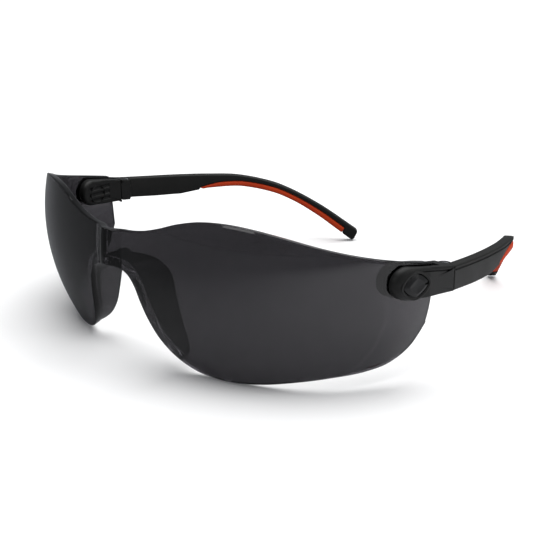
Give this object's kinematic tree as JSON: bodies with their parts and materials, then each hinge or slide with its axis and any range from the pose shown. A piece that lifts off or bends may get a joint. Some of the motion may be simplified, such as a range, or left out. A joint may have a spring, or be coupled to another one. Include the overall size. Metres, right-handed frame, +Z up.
{
  "type": "safety glasses",
  "caption": "Wraparound safety glasses with a one-piece smoked lens, ratchet-tilt end pieces and folding temple arms with soft grips.",
  "frame": {"origin": "on the ground plane under the middle of the bounding box, with the glasses standing on the lens's lower edges and the arm tips", "axes": "+Z up, the lens faces -Y, the temple arms run back along +Y; right_ names the +X side and left_ the -X side, as the glasses are seen from the front"},
  "size_m": [0.1484, 0.144, 0.0463],
  "materials": {
    "smoke_lens": "glossy moulded polycarbonate, dark smoke tint",
    "end_piece_black": "fine moulded satin black nylon",
    "button_black": "satin black nylon, slightly polished on its raised face",
    "ratchet_plastic": "dark acetal",
    "arm_black": "fine moulded satin black nylon",
    "grip_orange": "soft matte orange-red elastomer, over-moulded",
    "steel": "plated steel",
    "brass": "turned brass"
  },
  "bodies": {
    "lens_frame": {"lens": "smoke_lens", "right_ratchet_disc": "ratchet_plastic", "left_ratchet_disc": "ratchet_plastic"},
    "right_endpiece": {"right_endpiece_outer": "end_piece_black", "right_endpiece_inner": "end_piece_black", "right_pivot_button": "button_black", "right_spring_washer": "steel", "right_pivot_cap": "end_piece_black", "right_hinge_screw": "steel", "right_hinge_insert": "brass"},
    "right_temple": {"right_temple_arm": "arm_black", "right_soft_grip": "grip_orange"},
    "left_endpiece": {"left_endpiece_outer": "end_piece_black", "left_endpiece_inner": "end_piece_black", "left_pivot_button": "button_black", "left_spring_washer": "steel", "left_pivot_cap": "end_piece_black", "left_hinge_screw": "steel", "left_hinge_insert": "brass"},
    "left_temple": {"left_temple_arm": "arm_black", "left_soft_grip": "grip_orange"}
  },
  "joints": [
    {"name": "right_tilt", "type": "hinge", "parent": "lens_frame", "child": "right_endpiece", "pos_m": [0.07, -0.0268, 0.0299], "axis": [1, 0, 0], "range_deg": [-10, 10]},
    {"name": "right_fold", "type": "hinge", "parent": "right_endpiece", "child": "right_temple", "pos_m": [0.0706, -0.0114, 0.0285], "axis": [0, 0, 1], "range_deg": [0, 90]},
    {"name": "left_tilt", "type": "hinge", "parent": "lens_frame", "child": "left_endpiece", "pos_m": [-0.07, -0.0268, 0.0299], "axis": [1, 0, 0], "range_deg": [-10, 10]},
    {"name": "left_fold", "type": "hinge", "parent": "left_endpiece", "child": "left_temple", "pos_m": [-0.0706, -0.0114, 0.0285], "axis": [0, 0, -1], "range_deg": [0, 76]}
  ]
}
